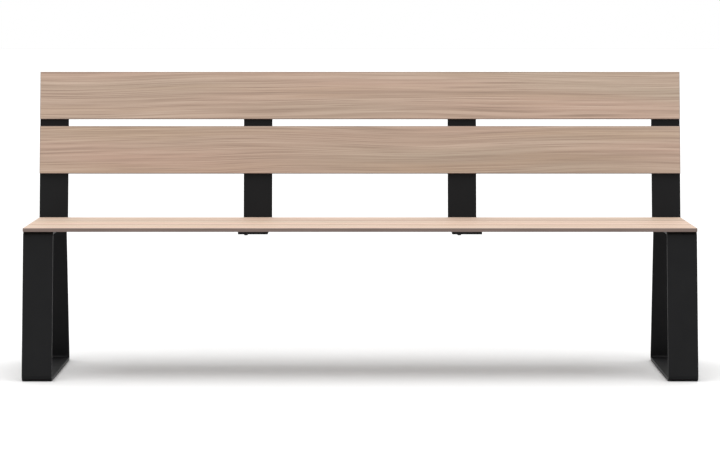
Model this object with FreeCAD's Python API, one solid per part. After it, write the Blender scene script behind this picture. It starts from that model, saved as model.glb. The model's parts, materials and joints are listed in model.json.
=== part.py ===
"""Street bench with a back: five identical laminate boards screwed to bent flat-steel supports.

Two end frames stand on the ground. Each is one long flat bar, bent into a trapezoid leg whose
top carries the seat and whose tail runs up behind the back boards. Two centre supports are the
same bar without the leg. A square tube, welded under the rear of the four arms, carries the
centre supports and keeps the frame square.

Frame: X along the bench, Y from front to back, Z up. The origin is on the ground, in the middle
of the footprint. The side profile is drawn with y = 0 at the seat's front edge, and everything
moves forward by one shift at the end. All sizes are in millimetres and degrees.
"""

import FreeCAD
import Part
import math
import os
from FreeCAD import Placement, Rotation, Vector

# ---------------------------------------------------------------- driving dimensions
BENCH_LENGTH = 1800.0
SEAT_HEIGHT = 405.0

BOARD_WIDTH = 134.0
BOARD_THICKNESS = 10.0
BOARD_CHAMFER = 1.2  # on every outer edge of a board
SEAT_GAP = 5.0
BACK_GAP = 20.0
BACK_START = 132.5  # from the arm's top, up the upright, to the lower back board

FLAT_WIDTH = 80.0
FLAT_THICKNESS = 8.0
BEND_INSIDE = 6.0
UPRIGHT_LEAN = 9.25  # all three leans are in degrees from upright
FRONT_LEG_LEAN = 9.3
REAR_LEG_LEAN = 7.95
UPRIGHT_FACE_Y = 416.0  # front face of the upright, at the arm's top
FRONT_LEG_FACE_Y = 11.3  # front face of the front leg, at the arm's top
REAR_LEG_FACE_Y = 383.0  # rear face of the rear leg, at the arm's underside
UPRIGHT_BELOW_TOP = 12.0  # from the top of the upper board down to the upright's end
CENTRE_ARM_TIP_Y = 18.0
END_ROUNDING = 4.0  # the two corners of each free end of a bar

TUBE_SIDE = 20.0
TUBE_WALL = 2.0
TUBE_CORNER = 2.5
TUBE_FRONT_Y = 389.5
TUBE_LENGTH = 1770.0
CAP_FLANGE = 3.0
CAP_PLUG = 12.0
CAP_PLUG_GAP = 0.3
CAP_PLUG_WALL = 2.0
CAP_PLUG_FLOOR = 1.0
LEG_WELD = 4.0  # leg length of the fillet welds that close the end frames
TUBE_WELD = 4.5
TUBE_WELD_LENGTH = 60.0
WELD_CROWN = 0.6  # reach of a bead's crown, as a share of its two legs added together

SCREW_THREAD = 6.0
SCREW_LENGTH = 14.0
SCREW_HEAD_DIAMETER = 10.0
SCREW_HEAD_HEIGHT = 6.0
SCREW_KEY = 5.0  # across the flats of the hexagon socket
SCREW_KEY_DEPTH = 3.0
SCREW_OFFSET = 20.0  # to either side of the bar's middle, turn about from board to board
SCREW_CLEARANCE_HOLE = 6.6
TAPPED_HOLE = 6.1
TAPPED_DEPTH = 7.0

ANCHOR_HOLE = 12.0
ANCHOR_SPACING = 300.0

OVERSHOOT = 1.0  # how far a cutting shape runs past the face that it opens
SAME_LENGTH = 1e-6  # how close an edge's length comes to the one looked for

# ---------------------------------------------------------------- worked out
ARM_TOP = SEAT_HEIGHT - BOARD_THICKNESS
ARM_MIDDLE = ARM_TOP - FLAT_THICKNESS / 2
ARM_UNDERSIDE = ARM_TOP - FLAT_THICKNESS
HALF_FLAT = FLAT_THICKNESS / 2
END_FRAME_X = (BENCH_LENGTH - FLAT_WIDTH) / 2
SUPPORT_X = {
    "end_frame_left": -END_FRAME_X,
    "centre_support_left": -END_FRAME_X / 3,
    "centre_support_right": END_FRAME_X / 3,
    "end_frame_right": END_FRAME_X,
}
BOARDS = [
    "seat_board_front",
    "seat_board_middle",
    "seat_board_rear",
    "back_board_lower",
    "back_board_upper",
]
BACK_TOP = BACK_START + 2 * BOARD_WIDTH + BACK_GAP
X_AXIS = Vector(1, 0, 0)
Y_AXIS = Vector(0, 1, 0)
Z_AXIS = Vector(0, 0, 1)
UP_THE_BACK = Rotation(X_AXIS, -UPRIGHT_LEAN).multVec(Z_AXIS)
OUT_OF_THE_BACK = Rotation(X_AXIS, -UPRIGHT_LEAN).multVec(Y_AXIS)
DOWN_THE_REAR_LEG = Rotation(X_AXIS, REAR_LEG_LEAN).multVec(-Z_AXIS)


def leaning_line(face_y, z, degrees, aside):
    """A bar's middle line as a function of height, from one face's y at height z and its lean."""
    slope = math.tan(math.radians(degrees))
    middle_y = face_y + aside / math.cos(math.radians(degrees))
    return lambda height: Vector(0, middle_y + (height - z) * slope, height)


upright_line = leaning_line(UPRIGHT_FACE_Y, ARM_TOP, UPRIGHT_LEAN, HALF_FLAT)
front_leg_line = leaning_line(FRONT_LEG_FACE_Y, ARM_TOP, FRONT_LEG_LEAN, HALF_FLAT)
rear_leg_line = leaning_line(REAR_LEG_FACE_Y, ARM_UNDERSIDE, -REAR_LEG_LEAN, -HALF_FLAT)
FOOT_MIDDLE = (front_leg_line(HALF_FLAT) + rear_leg_line(HALF_FLAT)) / 2


def on_upright_face(distance):
    """The point on the upright's front face that lies this far up it from the arm's top."""
    return Vector(0, UPRIGHT_FACE_Y, ARM_TOP) + UP_THE_BACK * distance


UPRIGHT_END = on_upright_face(BACK_TOP - UPRIGHT_BELOW_TOP) + OUT_OF_THE_BACK * HALF_FLAT


# ---------------------------------------------------------------- bent flat bar
def bend_line(points, radius):
    """A wire through the points, with a tangent arc in place of every inner corner."""
    edges = []
    start = points[0]
    for before, corner, after in zip(points, points[1:], points[2:]):
        towards_before = (before - corner).normalize()
        towards_after = (after - corner).normalize()
        half_angle = towards_before.getAngle(towards_after) / 2
        reach = radius / math.tan(half_angle)
        middle = (towards_before + towards_after).normalize()
        first = corner + towards_before * reach
        last = corner + towards_after * reach
        crown = corner + middle * (radius / math.sin(half_angle) - radius)
        edges.append(Part.LineSegment(start, first).toShape())
        edges.append(Part.Arc(first, crown, last).toShape())
        start = last
    edges.append(Part.LineSegment(start, points[-1]).toShape())
    return Part.Wire(edges)


def flat_bar(points):
    """A flat bar bent along its middle line. The bar's width lies along X, centred on x = 0."""
    along = (points[1] - points[0]).normalize()
    through = X_AXIS.cross(along) * HALF_FLAT
    across = X_AXIS * (FLAT_WIDTH / 2)
    start = points[0]
    corners = [start + across + through, start - across + through]
    corners += [start - across - through, start + across - through]
    section = Part.makePolygon(corners + corners[:1])
    return bend_line(points, BEND_INSIDE + HALF_FLAT).makePipeShell([section], True, False)


def round_end(bar, end, inward):
    """Rounds the two corners of a bar's free end. Inward points from the end along the bar."""
    through = X_AXIS.cross(inward) * FLAT_THICKNESS
    for side in (-1, 1):
        outward = X_AXIS * side
        corner = end + outward * (FLAT_WIDTH / 2) - through
        centre = corner + (inward - outward) * END_ROUNDING
        square = [corner, centre + outward * END_ROUNDING, centre, centre - inward * END_ROUNDING]
        waste = Part.Face(Part.makePolygon(square + square[:1])).extrude(through * 2)
        kept = Part.makeCylinder(END_ROUNDING, 2 * FLAT_THICKNESS, centre, through)
        bar = bar.cut(waste.cut(kept))
    return bar


def fillet_weld(corner, level_leg, down_leg, length):
    """A convex bead along X in a corner. Its two legs lie on the faces that it joins."""
    level_toe = corner + level_leg
    down_toe = corner + down_leg
    crown = corner + (level_leg + down_leg) * WELD_CROWN
    outline = [
        Part.Arc(level_toe, crown, down_toe).toShape(),
        Part.LineSegment(down_toe, corner).toShape(),
        Part.LineSegment(corner, level_toe).toShape(),
    ]
    bead = Part.Face(Part.Wire(outline)).extrude(X_AXIS * length)
    bead.translate(X_AXIS * (-length / 2))
    return bead


def end_frame():
    """Upright, arm, front leg, foot and rear leg: one bar, closed by two welds under the arm."""
    front_half = flat_bar(
        [
            UPRIGHT_END,
            upright_line(ARM_MIDDLE),
            front_leg_line(ARM_MIDDLE),
            front_leg_line(HALF_FLAT),
            FOOT_MIDDLE,
        ]
    )
    rear_half = flat_bar([FOOT_MIDDLE, rear_leg_line(HALF_FLAT), rear_leg_line(ARM_MIDDLE)])
    rear_corner = Vector(0, REAR_LEG_FACE_Y, ARM_UNDERSIDE)
    front_corner = 2 * rear_leg_line(ARM_UNDERSIDE) - rear_corner
    down_leg = DOWN_THE_REAR_LEG * LEG_WELD
    welds = [
        fillet_weld(rear_corner, Y_AXIS * LEG_WELD, down_leg, FLAT_WIDTH),
        fillet_weld(front_corner, -Y_AXIS * LEG_WELD, down_leg, FLAT_WIDTH),
    ]
    frame = front_half.fuse([rear_half] + welds).removeSplitter()
    return round_end(frame, UPRIGHT_END, -UP_THE_BACK)


def centre_support():
    """The upright and the arm alone, an L that stops short of the seat's front edge."""
    tip = Vector(0, CENTRE_ARM_TIP_Y, ARM_MIDDLE)
    bar = flat_bar([UPRIGHT_END, upright_line(ARM_MIDDLE), tip])
    bar = round_end(bar, UPRIGHT_END, -UP_THE_BACK)
    return round_end(bar, tip, Y_AXIS)


def anchor_drills():
    """The two holes in each foot for a ground anchor."""
    spots = [FOOT_MIDDLE + Y_AXIS * (side * ANCHOR_SPACING / 2) for side in (-1, 1)]
    return [
        Part.makeCylinder(ANCHOR_HOLE / 2, 2 * FLAT_THICKNESS, spot - Z_AXIS * FLAT_THICKNESS)
        for spot in spots
    ]


# ---------------------------------------------------------------- boards and screws
# Each board is made flat, with its front or lower long edge at y = 0 and z = 0 on the steel.
def board_placement(number):
    """Where a board lies: the seat boards on the arms, the back boards against the uprights."""
    seat_boards = 3
    if number < seat_boards:
        return Placement(Vector(0, number * (BOARD_WIDTH + SEAT_GAP), ARM_TOP), Rotation())
    distance = BACK_START + (number - seat_boards) * (BOARD_WIDTH + BACK_GAP)
    return Placement(on_upright_face(distance), Rotation(X_AXIS, 90 - UPRIGHT_LEAN))


def screw_spot(support_x, number):
    """Where a board's screw goes on one support: mid-width, left and right of the bar in turn."""
    offset = SCREW_OFFSET * (-1) ** (number + 1)
    return Vector(support_x + offset, BOARD_WIDTH / 2, 0)


def board(number):
    """A laminate board with chamfered edges and a tapped blind hole over each support."""
    corner = Vector(-BENCH_LENGTH / 2, 0, 0)
    blank = Part.makeBox(BENCH_LENGTH, BOARD_WIDTH, BOARD_THICKNESS, corner)
    blank = blank.makeChamfer(BOARD_CHAMFER, blank.Edges)
    holes = [
        Part.makeCylinder(TAPPED_HOLE / 2, TAPPED_DEPTH, screw_spot(x, number))
        for x in SUPPORT_X.values()
    ]
    return blank.cut(holes)


def hexagonal_prism(radius, height, base):
    """A six-sided prism standing on the base point. The radius is to its corners."""
    turns = range(0, 361, 60)
    corners = [base + Rotation(Z_AXIS, turn).multVec(X_AXIS * radius) for turn in turns]
    return Part.Face(Part.makePolygon(corners)).extrude(Z_AXIS * height)


def cap_screw(spot):
    """A socket-head cap screw that comes up through the steel into the board.

    The thread is out of sight, so its core has six flats and not a helix.
    """
    bearing = spot - Z_AXIS * FLAT_THICKNESS
    top = bearing - Z_AXIS * SCREW_HEAD_HEIGHT
    head = Part.makeCylinder(SCREW_HEAD_DIAMETER / 2, SCREW_HEAD_HEIGHT, top)
    thread = hexagonal_prism(SCREW_THREAD / 2, SCREW_LENGTH, bearing)
    socket = hexagonal_prism(SCREW_KEY / math.sqrt(3), SCREW_KEY_DEPTH, top)
    return head.fuse(thread).cut(socket)


def screw_drill(spot):
    """A drill that leaves a clearance hole through the flat bar."""
    start = spot - Z_AXIS * (2 * FLAT_THICKNESS)
    return Part.makeCylinder(SCREW_CLEARANCE_HOLE / 2, 3 * FLAT_THICKNESS, start)


# ---------------------------------------------------------------- rear tube
def square_bar(side, length, corner_radius=0.0):
    """A square prism centred on x = 0 and on the tube's middle line."""
    start = Vector(-length / 2, TUBE_FRONT_Y + (TUBE_SIDE - side) / 2, 0)
    start.z = ARM_UNDERSIDE - (TUBE_SIDE + side) / 2
    bar = Part.makeBox(length, side, side, start)
    if not corner_radius:
        return bar
    long_edges = [edge for edge in bar.Edges if abs(edge.Length - length) < SAME_LENGTH]
    return bar.makeFillet(corner_radius, long_edges)


def rear_tube(outside):
    """The square tube: its outside, bored through with the smaller square of the inside."""
    inner_corner = TUBE_CORNER - TUBE_WALL
    bore = square_bar(TUBE_SIDE - 2 * TUBE_WALL, TUBE_LENGTH + 2 * OVERSHOOT, inner_corner)
    return outside.cut(bore)


def tube_cap():
    """A push-in cap for the tube's right end: a flange over the wall and a hollow plug inside."""
    plug_side = TUBE_SIDE - 2 * (TUBE_WALL + CAP_PLUG_GAP)
    flange = square_bar(TUBE_SIDE, CAP_FLANGE, TUBE_CORNER)
    plug = square_bar(plug_side, CAP_PLUG)
    hollow = square_bar(plug_side - 2 * CAP_PLUG_WALL, CAP_PLUG)
    flange.translate(X_AXIS * (TUBE_LENGTH + CAP_FLANGE) / 2)
    plug.translate(X_AXIS * (TUBE_LENGTH - CAP_PLUG) / 2)
    hollow.translate(X_AXIS * ((TUBE_LENGTH - CAP_PLUG) / 2 - CAP_PLUG_FLOOR))
    return flange.fuse(plug).cut(hollow).removeSplitter()


def tube_welds(tube_outside):
    """Beads in the grooves that the tube's rounded corners leave under each arm."""
    groove = TUBE_SIDE / 2 - TUBE_CORNER
    beads = []
    for side in (-1, 1):
        corner = Vector(0, TUBE_FRONT_Y + TUBE_SIDE / 2 + side * groove, ARM_UNDERSIDE)
        level_leg = Y_AXIS * (side * TUBE_WELD)
        bead = fillet_weld(corner, level_leg, -Z_AXIS * TUBE_WELD, TUBE_WELD_LENGTH)
        bead = bead.cut(tube_outside)
        beads += [shifted(bead, X_AXIS * x) for x in SUPPORT_X.values()]
    return Part.makeCompound(beads)


# ---------------------------------------------------------------- assembly
def moved(shape, place):
    copy = shape.copy()
    copy.Placement = place.multiply(copy.Placement)
    return copy


def shifted(shape, offset):
    copy = shape.copy()
    copy.translate(offset)
    return copy


def supports():
    """The four steel supports, each drilled for its own screws."""
    blanks = {"end": end_frame().cut(anchor_drills()), "centre": centre_support()}
    made = {}
    for name, x in SUPPORT_X.items():
        drills = []
        for number in range(len(BOARDS)):
            drill = screw_drill(screw_spot(x, number))
            drills.append(moved(drill, board_placement(number)))
        blank = blanks[name.split("_")[0]]
        made[name] = shifted(blank, X_AXIS * x).cut(drills)
    return made


def bench():
    """Every node of the bench by name, in the side profile's frame."""
    nodes = supports()
    for number, name in enumerate(BOARDS):
        place = board_placement(number)
        screws = [cap_screw(screw_spot(x, number)) for x in SUPPORT_X.values()]
        nodes[name] = moved(board(number), place)
        nodes[name + "_screws"] = Part.makeCompound([moved(screw, place) for screw in screws])
    tube_outside = square_bar(TUBE_SIDE, TUBE_LENGTH, TUBE_CORNER)
    cap = tube_cap()
    nodes["rear_tube"] = rear_tube(tube_outside)
    nodes["rear_tube_welds"] = tube_welds(tube_outside)
    nodes["rear_tube_cap_left"] = cap.mirror(Vector(), X_AXIS)
    nodes["rear_tube_cap_right"] = cap
    return nodes


def main():
    nodes = bench()
    footprint = nodes["end_frame_left"].optimalBoundingBox(False)
    to_middle = Vector(0, -footprint.Center.y, 0)
    os.makedirs("parts", exist_ok=True)
    for name, shape in nodes.items():
        placed = shifted(shape, to_middle)
        placed.exportStep(f"parts/{name}.step")
        box = placed.optimalBoundingBox(False)
        sound = all(solid.isValid() and solid.Volume > 0 for solid in placed.Solids)
        print(
            f"{name:26s} {len(placed.Solids):2d} solids, sound {sound},"
            f" x {box.XMin:.1f} to {box.XMax:.1f}, y {box.YMin:.1f} to {box.YMax:.1f},"
            f" z {box.ZMin:.1f} to {box.ZMax:.1f}"
        )
    print(f"moved by {to_middle.y:.3f} mm in y")


main()
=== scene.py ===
# %% [markdown]
# # A street bench with a back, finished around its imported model
#
# The bench has five identical boards of compact laminate, 10 mm thick, on four supports bent
# from flat steel. The engineering model already has the right sizes, and it arrives here as a
# fixed frame. This lesson builds the surfaces that a person sees: softened steel edges, weld
# beads with their ripples, boards with a printed oak face and a brown paper core, and turned
# screws. No part of the bench is placed by eye: every position is read from the frame.

# %% Load the frame
import bmesh
import bpy
import json
import math
from mathutils import Matrix, Vector


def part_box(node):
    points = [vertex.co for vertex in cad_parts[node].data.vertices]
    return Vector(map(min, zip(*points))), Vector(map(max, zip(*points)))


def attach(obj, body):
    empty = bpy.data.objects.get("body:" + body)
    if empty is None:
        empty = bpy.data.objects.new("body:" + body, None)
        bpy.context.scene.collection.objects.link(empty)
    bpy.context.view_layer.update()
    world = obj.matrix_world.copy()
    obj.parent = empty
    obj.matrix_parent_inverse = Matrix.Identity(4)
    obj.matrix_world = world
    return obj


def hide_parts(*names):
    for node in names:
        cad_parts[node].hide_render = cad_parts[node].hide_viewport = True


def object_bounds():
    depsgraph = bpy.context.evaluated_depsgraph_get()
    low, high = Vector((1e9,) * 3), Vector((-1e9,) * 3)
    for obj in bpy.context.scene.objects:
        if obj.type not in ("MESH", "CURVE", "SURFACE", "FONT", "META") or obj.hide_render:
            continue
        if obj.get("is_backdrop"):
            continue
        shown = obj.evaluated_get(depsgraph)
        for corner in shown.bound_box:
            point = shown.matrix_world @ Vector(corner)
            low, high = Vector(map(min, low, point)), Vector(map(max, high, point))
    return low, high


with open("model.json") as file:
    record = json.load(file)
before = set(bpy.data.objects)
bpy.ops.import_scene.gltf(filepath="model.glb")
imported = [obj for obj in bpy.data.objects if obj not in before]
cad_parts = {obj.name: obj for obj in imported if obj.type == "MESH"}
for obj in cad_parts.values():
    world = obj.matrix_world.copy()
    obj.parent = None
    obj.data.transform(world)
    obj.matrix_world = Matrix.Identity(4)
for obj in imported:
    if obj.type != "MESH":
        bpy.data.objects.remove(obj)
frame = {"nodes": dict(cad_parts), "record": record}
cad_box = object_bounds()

MM = 0.001
X_AXIS = Vector((1, 0, 0))
Y_AXIS = Vector((0, 1, 0))
Z_AXIS = Vector((0, 0, 1))
print("nodes:", ", ".join(sorted(frame["nodes"])))
print("overall size in mm:", [round((high - low) / MM, 1) for low, high in zip(*cad_box)])

# %% [markdown]
# ## Measuring the frame
#
# A node of the frame is a mesh whose points are already in metres and in place. Besides a
# node's plain box, two small measures are enough for the whole bench. `span` tells how far a
# node reaches along any direction, which also works for a leaning board, where a plain box
# would be too big.
# `flat_faces` collects the flat faces of a node, so a bar's lean can be read from its own faces
# and never has to be typed in a second time. A board's printed faces are the only ones over
# 0.1 square metres, which is how they are told from its edges.


# %% Two ways to measure a node
def span(node, direction):
    """The lowest and the highest distance of a node's points along a direction."""
    reaches = [point.co.dot(direction) for point in frame["nodes"][node].data.vertices]
    return min(reaches), max(reaches)


def flat_faces(node, smallest):
    """A node's flat faces with at least the smallest area, as (normal, distance, middle)."""
    planes = {}
    for polygon in frame["nodes"][node].data.polygons:
        distance = polygon.center.dot(polygon.normal)
        plane = (*(round(part, 2) for part in polygon.normal), round(distance / MM))
        planes.setdefault(plane, []).append(polygon)
    faces = []
    for polygons in planes.values():
        area = sum(polygon.area for polygon in polygons)
        if area > smallest:
            middle = sum((polygon.center * polygon.area for polygon in polygons), Vector()) / area
            normal = max(polygons, key=lambda polygon: polygon.area).normal.copy()
            faces.append((normal, middle.dot(normal), middle))
    return faces


BOARDS = ["seat_board_front", "seat_board_middle", "seat_board_rear"]
BOARDS += ["back_board_lower", "back_board_upper"]
SUPPORTS = ["end_frame_left", "centre_support_left", "centre_support_right", "end_frame_right"]
PRINTED_FACE = 0.1
for board in BOARDS:
    normal = max(flat_faces(board, PRINTED_FACE), key=lambda face: face[0].z)[0]
    print(f"{board}: its upper face leans {math.degrees(math.acos(normal.z)):.2f} degrees from level")

# %% [markdown]
# ## Colours and shader nodes
#
# Paint cards and laminate samples give colours as sRGB hex numbers, while a shader counts light
# in linear steps, so one function turns the first into the second. A second function adds a
# shader node, sets its settings, fills its inputs with numbers or with links from earlier
# nodes, and hands back one of its outputs for the next node. With these two, a whole material
# can be read from top to bottom like a recipe. The colour mixing node counts its sockets in a
# way that says little, so its numbers get names.


# %% Helpers for materials
def linear(hex_colour):
    """An sRGB hex colour as linear red, green, blue and alpha."""
    parts = [int(hex_colour[place : place + 2], 16) / 255 for place in (1, 3, 5)]
    return [p / 12.92 if p <= 0.04045 else ((p + 0.055) / 1.055) ** 2.4 for p in parts] + [1.0]


def add_node(tree, kind, settings, inputs, output=0):
    """Adds a shader node and returns one output. An input takes a value or an earlier output."""
    made = tree.nodes.new("ShaderNode" + kind)
    for name, value in settings.items():
        setattr(made, name, value)
    for name, value in inputs.items():
        if isinstance(value, bpy.types.NodeSocket):
            tree.links.new(value, made.inputs[name])
        else:
            made.inputs[name].default_value = value
    return made.outputs[output]


def new_material(name, roughness, ior=1.5, specular_level=0.5, metallic=0.0):
    """A material with a principled shader, and its node tree."""
    material = bpy.data.materials.new(name)
    material.use_nodes = True
    tree = material.node_tree
    shader = tree.nodes["Principled BSDF"]
    shader.inputs["Roughness"].default_value = roughness
    shader.inputs["IOR"].default_value = ior
    shader.inputs["Specular IOR Level"].default_value = specular_level
    shader.inputs["Metallic"].default_value = metallic
    return material, tree, shader


COLOUR_MIX = {"data_type": "RGBA"}
SHARE, FIRST_COLOUR, SECOND_COLOUR = 0, 6, 7
MIXED_COLOUR = 2
print("a mid grey of #808080 is", round(linear("#808080")[0], 3), "in linear light")

# %% [markdown]
# ## Powder-coated steel
#
# The steel is blasted, dusted with black polyester powder and baked. The powder melts into a
# matt skin with a fine, sand-like texture about 0.4 mm across, which breaks reflections up
# into a soft satin. Polyester is a clear resin with an IOR of about 1.5, but the tiny dips
# swallow part of the shine, so the specular level is turned down. Roughness moves a little
# between patches, as it does where the powder lay thicker. The real texture is too fine to
# show from several metres away, so a second one is drawn three times as coarse.

# %% The black coating
COAT_BLACK = "#0D0D0E"
COAT_GREY = "#131314"
COAT_GRAIN = 0.4 * MM
COAT_GRAIN_SHOWN = 1.2 * MM
COAT_RELIEF = 0.04 * MM
COAT_PATCH = 60 * MM
COAT_ROUGHNESS = 0.5
COAT_UNEVENNESS = 0.08
COAT_SHINE = 0.13


def powder_coat():
    """Black polyester powder, with its texture in two sizes of grain."""
    material, tree, shader = new_material(
        "black_powder_coat", COAT_ROUGHNESS, specular_level=COAT_SHINE
    )
    place = add_node(tree, "TexCoord", {}, {}, "Object")
    noise = {}
    for name, size, detail in (
        ("patches", COAT_PATCH, 2.0),
        ("fine", COAT_GRAIN, 1.0),
        ("coarse", COAT_GRAIN_SHOWN, 2.0),
    ):
        inputs = {"Vector": place, "Scale": 1 / size, "Detail": detail}
        noise[name] = add_node(tree, "TexNoise", {}, inputs)
    tones = {
        SHARE: noise["patches"],
        FIRST_COLOUR: linear(COAT_BLACK),
        SECOND_COLOUR: linear(COAT_GREY),
    }
    tone = add_node(tree, "Mix", COLOUR_MIX, tones, MIXED_COLOUR)
    satin = {
        "Value": noise["patches"],
        "To Min": COAT_ROUGHNESS - COAT_UNEVENNESS,
        "To Max": COAT_ROUGHNESS + COAT_UNEVENNESS,
    }
    gloss = add_node(tree, "MapRange", {}, satin)
    grains = add_node(tree, "Math", {}, {0: noise["fine"], 1: noise["coarse"]})
    peel = {"Strength": 0.6, "Distance": COAT_RELIEF, "Height": grains}
    relief = add_node(tree, "Bump", {}, peel)
    tree.links.new(tone, shader.inputs["Base Color"])
    tree.links.new(gloss, shader.inputs["Roughness"])
    tree.links.new(relief, shader.inputs["Normal"])
    return material


COAT = powder_coat()
print("coat grain drawn at", COAT_GRAIN / MM, "and", COAT_GRAIN_SHOWN / MM, "mm")

# %% [markdown]
# ## The printed oak face
#
# Compact laminate is many sheets of brown paper pressed with resin, faced on both sides with a
# sheet that is printed with wood grain. Melamine resin has an IOR of about 1.5, and the matt
# pressing plate gives it a roughness near 0.6. Printed oak has three scales: broad bands that
# drift between pinkish, greyish and yellowish brown, grain bands about 14 mm wide that run
# nearly the whole length, and fine streaks. The real streaks are under 1 mm, and here they are
# drawn 2.6 mm wide so that they show. All lines follow one slow wander, which makes them
# slope and swell together like the rings of one log. Every noise starts at its own place, so
# that no two of them line up.
#
# The coordinates come from a UV map in real metres, along the board and across it, so the
# pattern leans with the back boards. Each board starts somewhere else in the print.

# %% The laminate's decor
METRES = "real_metres"
OAK_PINK = "#A78D7D"
OAK_GREY = "#9E8E7D"
OAK_STRAW = "#A38C77"
OAK_DARK = "#877364"
OAK_LIGHT = "#BDA898"
WANDER = 30 * MM
WANDER_SIZE = (0.9, 0.3)
HUE_PATCH = (0.9, 0.09)
STRAW_PATCH = (0.7, 0.05)
GRAIN_BAND = (2.4, 14 * MM)
STREAK = (0.3, 2.6 * MM)
PORE = (30 * MM, 1.0 * MM)
EMBOSSING = 0.12 * MM


def long_grain(tree, place, size, detail, start):
    """Noise stretched along the board. Its size is (length, width), and start picks its place."""
    length, width = size
    stretch = {
        "Vector": place,
        "Location": (start, start, 0),
        "Scale": (1 / length, 1 / width, 1),
    }
    stretched = add_node(tree, "Mapping", {}, stretch)
    return add_node(tree, "TexNoise", {}, {"Vector": stretched, "Scale": 1.0, "Detail": detail})


def swung_place(tree):
    """The place on the print in metres, swung up and down by the slow wander of the log."""
    metres = add_node(tree, "UVMap", {"uv_map": METRES}, {})
    wander = long_grain(tree, metres, WANDER_SIZE, 1.0, 3.7)
    swing = add_node(tree, "MapRange", {}, {"Value": wander, "To Min": -WANDER, "To Max": WANDER})
    shift = add_node(tree, "CombineXYZ", {}, {"Y": swing})
    return add_node(tree, "VectorMath", {}, {0: metres, 1: shift})


def printed_oak():
    """The printed sheet: slow drifts of hue, long grain bands, fine streaks and pores."""
    material, tree, shader = new_material("melamine_oak_decor", 0.62, specular_level=0.35)
    place = swung_place(tree)
    warmth = long_grain(tree, place, HUE_PATCH, 1.0, 11.3)
    straw = long_grain(tree, place, STRAW_PATCH, 1.0, 27.1)
    bands = long_grain(tree, place, GRAIN_BAND, 2.0, 5.9)
    streaks = long_grain(tree, place, STREAK, 2.0, 41.7)
    pores = long_grain(tree, place, PORE, 2.0, 63.1)
    ink = linear(OAK_GREY)
    for noise, starts, full, strength, colour in (
        (warmth, 0.27, 0.7, 1.0, OAK_PINK),
        (straw, 0.52, 0.8, 1.0, OAK_STRAW),
        (bands, 0.5, 0.75, 0.65, OAK_DARK),
        (bands, 0.5, 0.25, 0.45, OAK_LIGHT),
        (streaks, 0.52, 0.7, 0.9, OAK_DARK),
        (streaks, 0.46, 0.25, 0.5, OAK_LIGHT),
        (pores, 0.6, 0.8, 0.35, OAK_DARK),
    ):
        reach = {"Value": noise, "From Min": starts, "From Max": full, "To Max": strength}
        share = add_node(tree, "MapRange", {}, reach)
        layers = {SHARE: share, FIRST_COLOUR: ink, SECOND_COLOUR: linear(colour)}
        ink = add_node(tree, "Mix", COLOUR_MIX, layers, MIXED_COLOUR)
    matt = {"Value": streaks, "From Min": 0.3, "From Max": 0.7, "To Min": 0.56, "To Max": 0.68}
    gloss = add_node(tree, "MapRange", {}, matt)
    dents = {"Strength": 0.5, "Distance": EMBOSSING, "Height": pores}
    relief = add_node(tree, "Bump", {}, dents)
    tree.links.new(ink, shader.inputs["Base Color"])
    tree.links.new(gloss, shader.inputs["Roughness"])
    tree.links.new(relief, shader.inputs["Normal"])
    return material


DECOR = printed_oak()
print("decor streaks drawn", STREAK[1] / MM, "mm wide")

# %% [markdown]
# ## The paper core
#
# A cut edge shows the core: kraft paper soaked in phenolic resin and pressed hard. It is a
# grey-brown, a little shinier where the saw polished it, and it has fine layers along its
# length. About forty sheets make 10 mm, so a sheet is 0.25 mm. Layers that fine would melt
# into one tone, so they are drawn 1 mm thick.

# %% The laminate's core
CORE_BROWN = "#72615A"
CORE_DARK = "#61534C"
LAYER = (0.15, 1.0 * MM)
SAW_MARK = (0.6 * MM, 20 * MM)
SAW_DEPTH = 0.05 * MM


def paper_core():
    """The brown core, with its layers along the edge and fine saw marks across it."""
    material, tree, shader = new_material("phenolic_paper_core", 0.6, specular_level=0.35)
    metres = add_node(tree, "UVMap", {"uv_map": METRES}, {})
    layers = long_grain(tree, metres, LAYER, 2.0, 8.3)
    saw_marks = long_grain(tree, metres, SAW_MARK, 1.0, 19.9)
    share = add_node(tree, "MapRange", {}, {"Value": layers, "From Min": 0.35, "From Max": 0.65})
    sheets = {SHARE: share, FIRST_COLOUR: linear(CORE_BROWN), SECOND_COLOUR: linear(CORE_DARK)}
    tone = add_node(tree, "Mix", COLOUR_MIX, sheets, MIXED_COLOUR)
    sawn = {"Value": layers, "From Min": 0.3, "From Max": 0.7, "To Min": 0.52, "To Max": 0.66}
    gloss = add_node(tree, "MapRange", {}, sawn)
    scratches = {"Strength": 0.3, "Distance": SAW_DEPTH, "Height": saw_marks}
    relief = add_node(tree, "Bump", {}, scratches)
    tree.links.new(tone, shader.inputs["Base Color"])
    tree.links.new(gloss, shader.inputs["Roughness"])
    tree.links.new(relief, shader.inputs["Normal"])
    return material


CORE = paper_core()
print("core layers drawn", LAYER[1] / MM, "mm thick")

# %% [markdown]
# ## Black-passivated screws and the polyethylene caps
#
# The screws are steel with a zinc layer that is passivated black. The metal still shines
# through, so it is a dark metal with a medium roughness and the default IOR, slightly blotchy
# from the dipping bath. The tube's caps are moulded polyethylene: IOR 1.51, coloured through,
# with the leathery spark-eroded texture of the mould, about 0.3 mm across, drawn at 0.8 mm.

# %% Screw metal and cap plastic
SCREW_BLACK = "#2E2D30"
SCREW_BROWN = "#3A3634"
BATH_PATCH = 3 * MM
BATH_RELIEF = 0.02 * MM
CAP_BLACK = "#161617"
CAP_SCUFFED = "#222223"
CAP_GRAIN_SHOWN = 0.8 * MM
CAP_RELIEF = 0.05 * MM
BLOTCH_UNEVENNESS = 0.06


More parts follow.
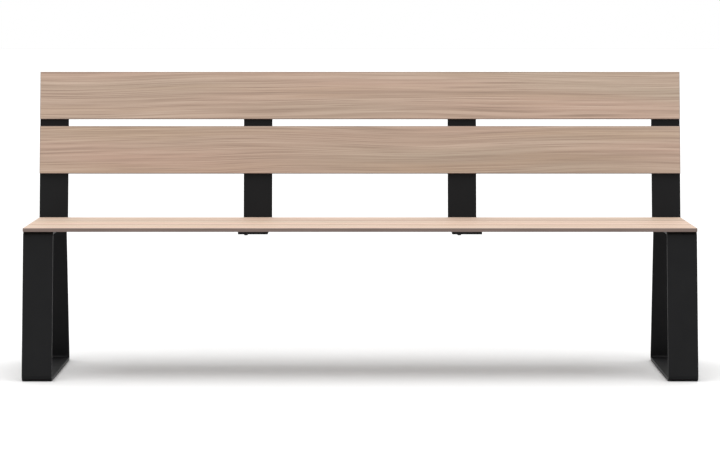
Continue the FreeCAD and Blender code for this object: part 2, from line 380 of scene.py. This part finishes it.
def blotchy(name, dark, light, patch, relief, roughness, **finish):
    """A finish with soft patches of two tones, and a relief of the same size."""
    material, tree, shader = new_material(name, roughness, **finish)
    place = add_node(tree, "TexCoord", {}, {}, "Object")
    patches = add_node(tree, "TexNoise", {}, {"Vector": place, "Scale": 1 / patch, "Detail": 3.0})
    bump = add_node(tree, "Bump", {}, {"Strength": 0.5, "Distance": relief, "Height": patches})
    tones = {SHARE: patches, FIRST_COLOUR: linear(dark), SECOND_COLOUR: linear(light)}
    tone = add_node(tree, "Mix", COLOUR_MIX, tones, MIXED_COLOUR)
    uneven = {
        "Value": patches,
        "From Min": 0.3,
        "From Max": 0.7,
        "To Min": roughness - BLOTCH_UNEVENNESS,
        "To Max": roughness + BLOTCH_UNEVENNESS,
    }
    gloss = add_node(tree, "MapRange", {}, uneven)
    tree.links.new(tone, shader.inputs["Base Color"])
    tree.links.new(gloss, shader.inputs["Roughness"])
    tree.links.new(bump, shader.inputs["Normal"])
    return material


SCREW_STEEL = blotchy(
    "black_passivated_steel",
    SCREW_BLACK,
    SCREW_BROWN,
    BATH_PATCH,
    BATH_RELIEF,
    roughness=0.42,
    metallic=1.0,
)
CAP_PLASTIC = blotchy(
    "moulded_polyethylene",
    CAP_BLACK,
    CAP_SCUFFED,
    CAP_GRAIN_SHOWN,
    CAP_RELIEF,
    roughness=0.48,
    ior=1.51,
)
print("materials:", ", ".join(sorted(material.name for material in bpy.data.materials)))

# %% [markdown]
# ## Skins made of rings
#
# Nearly every steel or plastic piece here is a section pushed along a line: the bars, the weld
# beads, the caps, and the screws, whose section is a circle. So there is one way to make them
# all: lay out rings of points with the same number of points in each, and join every ring to
# the next with four-sided faces. `skin` does that, and closes both ends. It is quicker to
# control than a curve with a bevel, because each ring can have its own size, which gives
# rounded ends and ripples.


# %% Rings and skins
def skin(rings):
    """A closed mesh over rings of points, each with the same number of points."""
    made = bmesh.new()
    loops = [[made.verts.new(point) for point in ring] for ring in rings]
    for near, far in zip(loops, loops[1:]):
        for place in range(len(near)):
            after = (place + 1) % len(near)
            made.faces.new((near[place], near[after], far[after], far[place]))
    made.faces.new(list(reversed(loops[0])))
    made.faces.new(loops[-1])
    bmesh.ops.recalc_face_normals(made, faces=made.faces)
    return made


def combined(parts):
    """Several bmeshes as one."""
    whole = bmesh.new()
    for part in parts:
        mesh = bpy.data.meshes.new("part")
        part.to_mesh(mesh)
        part.free()
        whole.from_mesh(mesh)
        bpy.data.meshes.remove(mesh)
    return whole


def rounded_section(middle, across, through, half_width, half_depth, radius, steps):
    """A rectangle of points with rounded corners. Across and through are its two directions."""
    points = []
    for corner in range(4):
        side_across = 1 if corner in (0, 3) else -1
        side_through = 1 if corner < 2 else -1
        for step in range(steps + 1):
            angle = math.radians(90 * (corner + step / steps))
            along_width = side_across * (half_width - radius) + radius * math.cos(angle)
            along_depth = side_through * (half_depth - radius) + radius * math.sin(angle)
            points.append(middle + across * along_width + through * along_depth)
    return points


example = rounded_section(Vector(), X_AXIS, Z_AXIS, 40 * MM, 4 * MM, 1 * MM, 3)
print("a section of a bar has", len(example), "points")

# %% [markdown]
# ## From a mesh to a piece
#
# A finished mesh becomes an object with smooth shading that stops at its real edges. Weighted
# normals keep the wide flat faces flat and leave the bending of light to the narrow arrises.
# Then the piece hides the plain nodes of the frame that it replaces, and moves with the bench.

# %% Pieces
SHARP_ANGLE = 35


def new_piece(name, made, materials):
    """Turns a bmesh into an object with smooth shading that stops at its sharp edges."""
    mesh = bpy.data.meshes.new(name)
    made.to_mesh(mesh)
    made.free()
    for material in materials:
        mesh.materials.append(material)
    mesh.shade_smooth()
    mesh.set_sharp_from_angle(angle=math.radians(SHARP_ANGLE))
    piece = bpy.data.objects.new(name, mesh)
    bpy.context.scene.collection.objects.link(piece)
    weighted = piece.modifiers.new("flat faces stay flat", "WEIGHTED_NORMAL")
    weighted.keep_sharp = True
    return piece


def stands_for(piece, slot, *nodes):
    """The piece rides with the bench and hides the nodes that it replaces. Its slot is not used."""
    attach(piece, "root")
    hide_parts(*nodes)


print("nodes of the frame that wait for a finish:", len(frame["nodes"]))

# %% [markdown]
# ## Where a bar runs
#
# Each support is one flat bar that was bent on a press brake. Its straight runs all have two
# parallel faces 8 mm apart, so a run's middle line lies halfway between a pair of opposite
# faces, and a bend's corner is where two middle lines cross. Reading the runs from the frame's
# own faces keeps the finished bar exactly on the tested one, leans included.


# %% Read the runs of a bar
BAR_THICKNESS = 8 * MM
BAR_WIDTH = 80 * MM
SHORTEST_RUN = 30 * MM


def straight_runs(node):
    """Each straight run of a bar as (normal, distance of its middle plane, middle), lowest first."""
    wide_faces = flat_faces(node, BAR_WIDTH * SHORTEST_RUN)
    faces = [face for face in wide_faces if abs(face[0].x) < 0.1]
    runs = []
    for number, (normal, distance, middle) in enumerate(faces):
        for other_normal, other_distance, other_middle in faces[number + 1 :]:
            gap = distance + other_distance
            if normal.dot(other_normal) < -0.999 and abs(gap - BAR_THICKNESS) < 0.5 * MM:
                runs.append((normal, distance - gap / 2, (middle + other_middle) / 2))
    return sorted(runs, key=lambda run: run[2].z)


def crossing(run, other, x):
    """The point where two middle lines meet, in the plane at x."""
    (a, distance_a), (b, distance_b) = run[:2], other[:2]
    scale = a.y * b.z - a.z * b.y
    y = (distance_a * b.z - distance_b * a.z) / scale
    z = (a.y * distance_b - b.y * distance_a) / scale
    return Vector((x, y, z))


for support in SUPPORTS[:2]:
    heights = [round(run[2].z / MM) for run in straight_runs(support)]
    print(f"{support} has {len(heights)} straight runs, with middles {heights} mm up")

# %% [markdown]
# ## Bending the bar
#
# The bar's outline is bent round a 6 mm punch nose. Along each bend the rings turn in small
# steps round the bend's centre. The section has 0.5 mm rounded arrises, as rolled flat steel has
# under its paint, and these thin curves are what catches the light along every leg. A free end
# has its two corners rounded to 4 mm, so its last rings grow narrower along a quarter circle,
# and its very last ones also grow thinner for the arris.

# %% Rings along a bent bar
ARRIS = 0.5 * MM
ARRIS_STEPS = 3
BEND_RADIUS = 6 * MM + BAR_THICKNESS / 2
BEND_STEPS = 9
END_CORNER = 4 * MM
END_STEPS = 6
THINNEST_ARRIS = 0.9


def bar_ring(middle, along, narrower=0.0, thinner=0.0):
    """One ring of the bar, square to the direction that the bar runs in."""
    return rounded_section(
        middle,
        X_AXIS,
        X_AXIS.cross(along),
        BAR_WIDTH / 2 - narrower,
        BAR_THICKNESS / 2 - thinner,
        ARRIS - thinner,
        ARRIS_STEPS,
    )


def rounded_end(end, inward):
    """The rings of a free end, from its tip inwards."""
    rings = []
    for step in reversed(range(END_STEPS)):
        angle = math.radians(90 * step / END_STEPS)
        depth = END_CORNER * (1 - math.sin(angle))
        narrower = END_CORNER * (1 - math.cos(angle))
        short_of_arris = max(ARRIS - depth, 0.0)
        thinner = ARRIS - math.sqrt(ARRIS**2 - short_of_arris**2)
        thinner = min(thinner, ARRIS * THINNEST_ARRIS)
        rings.append(bar_ring(end + inward * depth, inward, narrower, thinner))
    return rings


def bend_rings(before, corner, after):
    """The rings round one bend, between the points before and after its corner."""
    arriving = (corner - before).normalized()
    leaving = (after - corner).normalized()
    turn = arriving.angle(leaving)
    reach = BEND_RADIUS * math.tan(turn / 2)
    inwards = (leaving - arriving).normalized()
    centre = corner + inwards * (BEND_RADIUS / math.cos(turn / 2))
    axis = arriving.cross(leaving).normalized()
    start = corner - arriving * reach
    rings = []
    for step in range(BEND_STEPS + 1):
        turned = Matrix.Rotation(turn * step / BEND_STEPS, 3, axis)
        rings.append(bar_ring(centre + turned @ (start - centre), turned @ arriving))
    return rings


def bar_rings(points):
    """The rings of a bar along the points, from its rounded first end to its last bend."""
    rings = rounded_end(points[0], (points[1] - points[0]).normalized())
    for before, corner, after in zip(points, points[1:], points[2:]):
        rings += bend_rings(before, corner, after)
    return rings


print(f"bends: {BEND_STEPS} steps round a radius of {BEND_RADIUS / MM:.0f} mm")

# %% [markdown]
# ## Turning
#
# Screws and drills are turned parts: a profile of radius and height, spun round an axis. The
# same rings do it. A ring can also have six flats in place of a circle, for a hexagon socket,
# or sink every other point, for a knurl. 48 points divide by six, so the hexagon is exact.


# %% Turned shapes
ROUND_SIDES = 48


def turned_ring(base, axis, radius, height, sides=ROUND_SIDES, groove=0.0):
    """A ring round an axis, with flats if it has fewer sides. A groove sinks every other point."""
    first = axis.orthogonal().normalized()
    second = axis.cross(first)
    points = []
    for step in range(ROUND_SIDES):
        angle = 2 * math.pi * step / ROUND_SIDES
        flat = math.pi / sides
        reach = radius * math.cos(flat) / math.cos((angle % (2 * flat)) - flat)
        reach = radius if sides == ROUND_SIDES else reach
        reach -= groove * (step % 2)
        outward = first * math.cos(angle) + second * math.sin(angle)
        points.append(base + axis * height + outward * reach)
    return points


def turned(base, axis, profile):
    """A closed turned shape. The profile lists radius, height, and then sides and groove if any."""
    return skin([turned_ring(base, axis, *row) for row in profile])


print("a turned ring has", ROUND_SIDES, "points")

# %% [markdown]
# ## Screw places
#
# Every board is held by one screw at each support, driven through the steel from behind or
# below. The frame holds the four screws of a board as one node, so its points are sorted to
# the support that they are closest to, and the middle of each group is a screw's axis.


# %% Find the screws
def board_axes(board):
    """The directions across a board and out of its steel side, towards the sitter."""
    outward = max(flat_faces(board, PRINTED_FACE), key=lambda face: face[0].z)[0]
    return outward.cross(X_AXIS), outward


def screw_axes(board):
    """For each support, where its screw meets the steel's far side, and the screw's direction."""
    across, outward = board_axes(board)
    points = [point.co for point in frame["nodes"][board + "_screws"].data.vertices]
    bearing = span(board, outward)[0] - BAR_THICKNESS
    found = {}
    for support in SUPPORTS:
        low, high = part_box(support)
        near = [point for point in points if low.x < point.x < high.x]
        x = (min(p.x for p in near) + max(p.x for p in near)) / 2
        reach = [point.dot(across) for point in near]
        found[support] = X_AXIS * x + across * ((min(reach) + max(reach)) / 2) + outward * bearing
    return found, outward


for board in BOARDS:
    places, outward = screw_axes(board)
    print(board, "screws at x =", [round(place.x / MM) for place in places.values()])

# %% [markdown]
# ## Drilling
#
# Holes are cut with a boolean, because a drill goes through faces wherever it likes and no
# ring can follow it. The screw holes stay hidden under the screw heads. The two holes in each
# foot are open: they let the bench be bolted to the ground. Their drill flares by half a
# millimetre at both faces, because a deburred edge looks softer than a knife-sharp one.

# %% Drill the bars
CLEARANCE_RADIUS = 3.3 * MM
DEBURRING = 0.5 * MM
PAST_THE_FACE = 1 * MM


def drilled(made, name, drills):
    """A bmesh with all the drills cut out of it."""
    blank, tool = (bpy.data.objects.new(name, bpy.data.meshes.new(name)) for _ in range(2))
    for thing, source in ((blank, made), (tool, combined(drills))):
        source.to_mesh(thing.data)
        source.free()
        bpy.context.scene.collection.objects.link(thing)
    cut = blank.modifiers.new("drill", "BOOLEAN")
    cut.operation, cut.solver, cut.object = "DIFFERENCE", "EXACT", tool
    evaluated = blank.evaluated_get(bpy.context.evaluated_depsgraph_get())
    cut_mesh = bpy.data.meshes.new_from_object(evaluated)
    result = bmesh.new()
    result.from_mesh(cut_mesh)
    for thing in (blank, tool):
        bpy.data.objects.remove(thing)
    bpy.data.meshes.remove(cut_mesh)
    return result


def anchor_drills(x):
    """The two drills for one foot, placed by the mount that the record states."""
    mounts = frame["record"]["mounts"]
    anchors = next(mount for mount in mounts if mount["name"] == "ground_anchor_holes")
    radius = anchors["dims"]["hole_r_mm"] * MM
    half_spacing = anchors["dims"]["spacing_y_mm"] * MM / 2
    flare = radius + DEBURRING + PAST_THE_FACE
    profile = [
        (flare, -PAST_THE_FACE),
        (radius, DEBURRING),
        (radius, BAR_THICKNESS - DEBURRING),
        (flare, BAR_THICKNESS + PAST_THE_FACE),
    ]
    middle_y = anchors["pos_m"][1]
    spots = [Vector((x, middle_y + side * half_spacing, 0)) for side in (-1, 1)]
    return [turned(spot, Z_AXIS, profile) for spot in spots]


def screw_drills(support):
    """The clearance drills for the five screws of one support."""
    drills = []
    for board in BOARDS:
        places, outward = screw_axes(board)
        ends = (-PAST_THE_FACE, BAR_THICKNESS + PAST_THE_FACE)
        profile = [(CLEARANCE_RADIUS, height) for height in ends]
        drills.append(turned(places[support], outward, profile))
    return drills


# %% [markdown]
# ## The two end frames
#
# An end frame is one bar: down the back, forward under the seat, down the front leg, back
# along the ground and up the rear leg, whose end is welded under the arm. The last ring is
# slid along the leg onto the arm's underside, so the leg ends level there without a gap.


# %% Build the end frames
def middle_x(node):
    """Half-way across a node, from left to right."""
    low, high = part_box(node)
    return (low.x + high.x) / 2


def upright_end(node, run, x):
    """The middle of the upright's free end."""
    upwards = run[0].cross(X_AXIS)
    upwards *= math.copysign(1, upwards.z)
    return X_AXIS * x + run[0] * run[1] + upwards * span(node, upwards)[1]


def end_frame(node):
    """The bar of one end frame, with its holes."""
    x = middle_x(node)
    foot, *legs, arm, upright = straight_runs(node)
    front_leg, rear_leg = sorted(legs, key=lambda run: run[2].y)
    points = [upright_end(node, upright, x)]
    for run, after in ((upright, arm), (arm, front_leg), (front_leg, foot), (foot, rear_leg)):
        points.append(crossing(run, after, x))
    rising = (crossing(rear_leg, arm, x) - points[-1]).normalized()
    rings = bar_rings(points + [points[-1] + rising])
    underside = arm[2].z - BAR_THICKNESS / 2
    last = [point + rising * ((underside - point.z) / rising.z) for point in rings[-1]]
    drills = screw_drills(node) + anchor_drills(x)
    return drilled(skin(rings + [last]), node, drills)


for node in ("end_frame_left", "end_frame_right"):
    piece = new_piece(node + "_bar", end_frame(node), [COAT])
    stands_for(piece, "powder_coated_steel", node)
    print(piece.name, "has", len(piece.data.polygons), "faces")

# %% [markdown]
# ## The two centre supports
#
# A centre support is the same bar without the leg: an L with two free ends. The second free
# end is made like the first and its rings are put on in the opposite order, from the inside
# out.


# %% Build the centre supports
def turn_to_match(ring, earlier):
    """The same ring, started and ordered so that each point follows on from the earlier ring's."""
    choices = []
    for points in (ring, list(reversed(ring))):
        for start in range(len(points)):
            choices.append(points[start:] + points[:start])
    return min(choices, key=lambda choice: sum((a - b).length for a, b in zip(choice, earlier)))


def centre_support(node):
    """The bar of one centre support, with its holes."""
    x = middle_x(node)
    arm, upright = straight_runs(node)
    tip = Vector((x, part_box(node)[0].y, arm[2].z))
    rings = bar_rings([upright_end(node, upright, x), crossing(upright, arm, x), tip])
    tip_rings = reversed(rounded_end(tip, Y_AXIS))
    rings += [turn_to_match(ring, rings[-1]) for ring in tip_rings]
    return drilled(skin(rings), node, screw_drills(node))


for node in ("centre_support_left", "centre_support_right"):
    piece = new_piece(node + "_bar", centre_support(node), [COAT])
    stands_for(piece, "powder_coated_steel", node)
    print(piece.name, "has", len(piece.data.polygons), "faces")

# %% [markdown]
# ## Weld beads
#
# A hand-laid fillet weld looks like a row of coins pushed over: every 2 mm or so the pool froze
# in a curved ridge, and both ends run out round. The bead is a skin of thin rings. Each ring's
# crown swells a little with the ripple and lags behind its toes, which bends the ridges into
# crescents. The toes are sunk slightly into the steel, as a real weld melts into it.

# %% Lay the weld beads
LEG_WELD = 4 * MM
RIPPLE = 2.2 * MM
RIPPLE_SWELL = 0.14
RIPPLE_LAG = 0.4
HOLLOW = 1.5
BEAD_STEP = 0.44 * MM
CROWN_STEPS = 8
SUNK = 0.25 * MM


def weld_bead(start, level_leg, down_leg, length):
    """A rippled bead along X from its start, with its two legs lying on the faces it joins."""
    leg = (level_leg.length + down_leg.length) / 2
    buried = -(level_leg.normalized() + down_leg.normalized()) * SUNK
    rings = []
    steps = round(length / BEAD_STEP)
    for step in range(steps + 1):
        along = length * step / steps
        from_end = max(min(along, length - along, leg), SUNK)
        run_out = math.sqrt(1 - (1 - from_end / leg) ** 2)
        ripple = abs(math.sin(math.pi * along / RIPPLE))
        ring = [start + X_AXIS * along + buried]
        for place in range(CROWN_STEPS + 1):
            angle = math.radians(90 * place / CROWN_STEPS)
            height = math.sin(2 * angle)
            swell = run_out * (1 - RIPPLE_SWELL * (1 - ripple) * height)
            lag = -X_AXIS * min(RIPPLE_LAG * RIPPLE * height * run_out, along)
            legs = level_leg * math.cos(angle) ** HOLLOW + down_leg * math.sin(angle) ** HOLLOW
            ring.append(start + X_AXIS * along + lag + legs * swell + buried * (1 - height))
        rings.append(ring)
    return skin(rings)


print("a ripple has", round(RIPPLE / BEAD_STEP), "rings")

# %% [markdown]
# ## Closing the end frames
#
# The rear leg ends under the arm, and one bead lies in the corner in front of it and one behind
# it. The leg leans, so each bead has one side on the level arm and the other along the leg.


# %% Weld the rear legs to the arms
def leg_beads(node):
    """The two beads that close an end frame, in front of its rear leg and behind it."""
    low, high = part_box(node)
    _, *legs, arm, _ = straight_runs(node)
    rear_leg = max(legs, key=lambda run: run[2].y)
    downwards = rear_leg[0].cross(X_AXIS)
    downwards *= -math.copysign(1, downwards.z)
    corner = crossing(rear_leg, arm, low.x)
    corner += downwards * (BAR_THICKNESS / 2 / -downwards.z)
    half_cut = BAR_THICKNESS / 2 / abs(rear_leg[0].y)
    beads = []
    for side in (-1, 1):
        backwards = Y_AXIS * side
        start = corner + backwards * half_cut
        beads.append(weld_bead(start, backwards * LEG_WELD, downwards * LEG_WELD, high.x - low.x))
    return combined(beads)


for node in ("end_frame_left", "end_frame_right"):
    piece = new_piece(node + "_welds", leg_beads(node), [COAT])
    stands_for(piece, "powder_coated_steel", node)
    print(piece.name, "has", len(piece.data.polygons), "faces")

# %% [markdown]
# ## The rear tube
#
# A square steel tube joins the four supports. Its frame node already has the right shape,
# wall thickness and rounded corners, so it stays and only gets the coating. Eight short beads
# fill the grooves between its rounded corners and the arms. Their width on the arm and the
# places where they start are read from the frame's own beads.

# %% Finish the tube and its beads
TUBE_CORNER = 2.5 * MM


def tube_beads():
    """A bead on both sides of the tube, under each support."""
    low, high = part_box("rear_tube")
    bead_low, bead_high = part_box("rear_tube_welds")
    on_the_arm = low.y - bead_low.y
    on_the_tube = bead_high.z - bead_low.z
    beads = []
    for support in SUPPORTS:
        for side_y, backwards in ((low.y, -Y_AXIS), (high.y, Y_AXIS)):
            length = 2 * (bead_high.x - middle_x("end_frame_right"))
            start = Vector((middle_x(support) - length / 2, side_y, high.z))
            beads.append(weld_bead(start, backwards * on_the_arm, -Z_AXIS * on_the_tube, length))
    return combined(beads)


tube = frame["nodes"]["rear_tube"]
tube.data.materials.clear()
tube.data.materials.append(COAT)
beads = new_piece("rear_tube_weld_beads", tube_beads(), [COAT])
stands_for(beads, "powder_coated_steel", "rear_tube_welds")
print("it has", len(SUPPORTS) * 2, "beads")

# %% [markdown]
# ## The tube's end caps
#
# A pushed-in cap has a square flange that covers the tube's wall and a plug that grips inside.
# The moulding has soft outer edges, a face that is domed by a few tenths of a millimetre so
# that it looks crisp, and ribs round the plug. It is one skin along X: plug, ribs, flange,
# rounded rim and dome.

# %% Mould the caps
CAP_RIM = 0.8 * MM
CAP_DOME = 0.3 * MM
RIB_HEIGHT = 0.25 * MM
CAP_WALL_GAP = 2.3 * MM
RIBS = 4
PLUG_TAPER = 3 * RIB_HEIGHT
PLUG_CORNER = 0.5 * MM
RIM_STEPS = 5
CORNER_STEPS = 4


def tube_cap(node, side):
    """A cap whose flange faces outwards, to the left or right."""
    low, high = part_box(node)
    tube_low, tube_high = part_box("rear_tube")
    face_x, seat_x = (high.x, tube_high.x) if side > 0 else (low.x, tube_low.x)
    plug_x = low.x if side > 0 else high.x
    centre = Vector((0, (low.y + high.y) / 2, (low.z + high.z) / 2))
    half = (high.y - low.y) / 2
    plug_half = half - CAP_WALL_GAP
    rows = [(plug_x, plug_half - PLUG_TAPER, PLUG_CORNER)]
    for rib in range(RIBS):
        for part, proud in ((0.15, 0), (0.35, 1), (0.5, 1), (0.6, 0)):
            x = plug_x + (seat_x - plug_x) * (rib + part) / RIBS
            rows.append((x, plug_half - RIB_HEIGHT * (1 - proud), PLUG_CORNER))
    rows.append((seat_x, plug_half - RIB_HEIGHT, PLUG_CORNER))
    rows.append((seat_x, half, TUBE_CORNER))
    for step in range(RIM_STEPS + 1):
        angle = math.radians(90 * step / RIM_STEPS)
        inset = CAP_RIM * (1 - math.cos(angle))
        x = face_x - side * (CAP_DOME + CAP_RIM * (1 - math.sin(angle)))
        rows.append((x, half - inset, TUBE_CORNER - inset))
    rows.append((face_x - side * CAP_DOME / 4, half / 2, TUBE_CORNER / 2))
    rows.append((face_x, half / 8, TUBE_CORNER / 8))
    rings = []
    for x, size, radius in rows:
        middle = centre + X_AXIS * x
        rings.append(rounded_section(middle, Y_AXIS, Z_AXIS, size, size, radius, CORNER_STEPS))
    return skin(rings)


for node, side in (("rear_tube_cap_left", -1), ("rear_tube_cap_right", 1)):
    piece = new_piece(node + "_moulding", tube_cap(node, side), [CAP_PLASTIC])
    stands_for(piece, "cap_plastic", node)
    print(piece.name, "has", len(piece.data.polygons), "faces")

# %% [markdown]
# ## The boards
#
# All five boards are the same part. Its arrises are milled round by 1.2 mm, which cuts through
# the thin printed sheet and shows the brown core, so a fine dark line frames every face. The
# block is made flat, bevelled, and only then laid on its two directions, so the face with the
# print stays easy to tell from the edges. The UV map is in metres, and every board takes its
# own length of the print.

# %% Saw and print the boards
BOARD_ARRIS = 1.2 * MM
PRINT_STEP = 2.37
BACK_OF_SHEET = 40.0
DECOR_SIDE, CORE_SIDE = 0, 1


def panel(board, number):
    """A board with its decor on both faces and its core on the edges."""
    across, outward = board_axes(board)
    ranges = [span(board, direction) for direction in (X_AXIS, across, outward)]
    size = [high - low for low, high in ranges]
    made = bmesh.new()
    corners = bmesh.ops.create_cube(made, size=1)["verts"]
    for corner in corners:
        corner.co = Vector([(part + 0.5) * length for part, length in zip(corner.co, size)])
    bmesh.ops.bevel(
        made, geom=made.edges[:], offset=BOARD_ARRIS, segments=3, profile=0.5, affect="EDGES"
    )
    metres = made.loops.layers.uv.new(METRES)
    for face in made.faces:
        printed = abs(face.normal.z) > 0.999
        sawn_end = abs(face.normal.x) > 0.7
        face.material_index = DECOR_SIDE if printed else CORE_SIDE
        for loop in face.loops:
            x, y, z = loop.vert.co
            along, over = (x, y) if printed else (y, z) if sawn_end else (x, z)
            turned_over = BACK_OF_SHEET if face.normal.z < -0.999 else 0.0
            loop[metres].uv = (along + PRINT_STEP * number, over + turned_over + number)
    start = sum((axis * low for axis, (low, _) in zip((X_AXIS, across, outward), ranges)), Vector())
    for point in made.verts:
        x, y, z = point.co
        point.co = start + X_AXIS * x + across * y + outward * z
    return made


for number, board in enumerate(BOARDS):
    piece = new_piece(board + "_panel", panel(board, number), [DECOR, CORE])
    stands_for(piece, "laminate_board", board)
    print(piece.name, [round(part / MM) for part in piece.dimensions])

# %% [markdown]
# ## The cap screws
#
# Socket-head cap screws M6 come up through the steel. The head is 10 mm across with a
# chamfered top, a straight knurl for the fingers and a 5 mm hexagon socket. The real knurl has
# about forty ridges, and 24 are drawn. The whole screw is one turned profile that starts at
# the bottom of the socket, comes out over the head and runs down to the tip. The thread is
# drawn as rings 1 mm apart, since it sits out of sight.

# %% Turn the screws
HEAD_RADIUS = 5 * MM
HEAD_HEIGHT = 6 * MM
KEY_CORNER = 5 * MM / math.sqrt(3)
KEY_DEPTH = 3 * MM
THREAD_RADIUS = 3 * MM
THREAD_ROOT = 2.45 * MM
THREAD_PITCH = 1 * MM
SCREW_REACH = 14 * MM
KNURL_DEPTH = 0.2 * MM
DRILL_TIP = 0.3 * MM
DRILL_CONE = 1.2 * MM
EDGE_BREAK = 0.3 * MM


def cap_screw(bearing, outward):
    """One screw, with its head against the steel at the bearing point."""
    top = -HEAD_HEIGHT
    socket = [
        (DRILL_TIP, top + KEY_DEPTH + DRILL_CONE),
        (KEY_CORNER, top + KEY_DEPTH, 6),
        (KEY_CORNER, top + EDGE_BREAK, 6),
        (KEY_CORNER + EDGE_BREAK, top),
    ]
    rim = [
        (HEAD_RADIUS - 0.7 * MM, top),
        (HEAD_RADIUS - 0.2 * MM, top + 0.3 * MM),
        (HEAD_RADIUS, top + 0.8 * MM),
    ]
    knurl = [
        (HEAD_RADIUS, top + 1.0 * MM, ROUND_SIDES, KNURL_DEPTH),
        (HEAD_RADIUS, -0.8 * MM, ROUND_SIDES, KNURL_DEPTH),
    ]
    bearing_face = [
        (HEAD_RADIUS, -0.6 * MM),
        (HEAD_RADIUS - EDGE_BREAK, 0.0),
        (THREAD_RADIUS, 0.0),
    ]
    profile = socket + rim + knurl + bearing_face
    turns = int(SCREW_REACH / THREAD_PITCH) - 1
    for turn in range(turns):
        height = (turn + 0.5) * THREAD_PITCH
        profile.append((THREAD_RADIUS, height))
        profile.append((THREAD_ROOT, height + THREAD_PITCH / 2))
    profile.append((THREAD_ROOT - 0.4 * MM, SCREW_REACH))
    return turned(bearing, outward, profile)


for board in BOARDS:
    places, outward = screw_axes(board)
    screws = [cap_screw(place, outward) for place in places.values()]
    piece = new_piece(board + "_cap_screws", combined(screws), [SCREW_STEEL])
    stands_for(piece, "black_fasteners", board + "_screws")
    print(piece.name, "has", len(piece.data.polygons), "faces")

# %% [markdown]
# ## The floor
#
# The studio is as plain as can be. Its floor is a pale grey painted sheet that runs to the
# horizon, half a millimetre below the feet so that the two never share a surface. It also acts
# as a reflector, since it throws light up at the undersides. A middling grey keeps that light
# low enough for the upright back to stay darker than the level seat.

# %% Roll out the floor
FLOOR_GREY = "#BEBEBE"
FLOOR_REACH = 60.0
FLOOR_DROP = 0.5 * MM
FLOOR_PATCH = 0.5


def studio_floor():
    """A wide level sheet just under the feet."""
    made = bmesh.new()
    corners = ((-1, -1), (1, -1), (1, 1), (-1, 1))
    points = [made.verts.new((x * FLOOR_REACH, y * FLOOR_REACH, -FLOOR_DROP)) for x, y in corners]
    made.faces.new(points)
    material, tree, shader = new_material("pale_matt_floor_paint", 0.9, specular_level=0.1)
    place = add_node(tree, "TexCoord", {}, {}, "Object")
    inputs = {"Vector": place, "Scale": 1 / FLOOR_PATCH, "Detail": 2.0}
    dust = add_node(tree, "TexNoise", {}, inputs)
    matt = {"Value": dust, "From Min": 0.3, "From Max": 0.7, "To Min": 0.86, "To Max": 0.94}
    tree.links.new(add_node(tree, "MapRange", {}, matt), shader.inputs["Roughness"])
    shader.inputs["Base Color"].default_value = linear(FLOOR_GREY)
    return new_piece("studio_floor", made, [material])


studio_floor()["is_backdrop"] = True
print("floor reaches", FLOOR_REACH, "m each way")

# %% [markdown]
# ## The light
#
# An even white sky lights all sides alike, and one very broad light from straight above is what
# makes the level seat brighter than the upright back. The view is set to Standard, so a white
# surface in full light stays white.

# %% Light the studio
SKY = 1.0
TOP_LIGHT = 4.2
TOP_LIGHT_SPREAD = 75


def soft_light():
    """An even sky, and a broad light from straight above."""
    world = bpy.data.worlds.new("even_sky")
    world.use_nodes = True
    sky = world.node_tree.nodes["Background"]
    sky.inputs["Color"].default_value = (1, 1, 1, 1)
    sky.inputs["Strength"].default_value = SKY
    bpy.context.scene.world = world
    lamp = bpy.data.lights.new("broad_top_light", "SUN")
    lamp.energy = TOP_LIGHT
    lamp.angle = math.radians(TOP_LIGHT_SPREAD)
    light = bpy.data.objects.new("broad_top_light", lamp)
    bpy.context.scene.collection.objects.link(light)


soft_light()
bpy.context.scene.view_settings.view_transform = "Standard"
print("top light spreads over", TOP_LIGHT_SPREAD, "degrees")

# %% [markdown]
# ## The camera
#
# The camera stands about 8 m in front of the seat with a long lens, so the bench hardly narrows
# with distance. It is a little higher than the back and looks slightly down, which shows the
# seat as a thin strip. Its distance is measured from the front edge of the seat.

# %% Place the camera
LENS = 147.5
STANDPOINT = 7.844
EYE_HEIGHT = 0.993
LOOK_DOWN = 4.224
lens = bpy.data.cameras.new("long_lens")
lens.lens = LENS
camera = bpy.data.objects.new("long_lens", lens)
camera.location = (0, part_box("seat_board_front")[0].y - STANDPOINT, EYE_HEIGHT)
camera.rotation_euler = (math.radians(90 - LOOK_DOWN), 0, 0)
bpy.context.scene.collection.objects.link(camera)
bpy.context.scene.camera = camera
print("camera at", [round(part, 3) for part in camera.location])

# %% [markdown]
#
# The finished surfaces should fill the engineering box and never leave it. Both boxes are printed.

# %% Print the boxes
finished_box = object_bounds()
for name, corners in (("frame", cad_box), ("finished", finished_box)):
    print(name, [[round(part / MM, 2) for part in corner] for corner in corners])
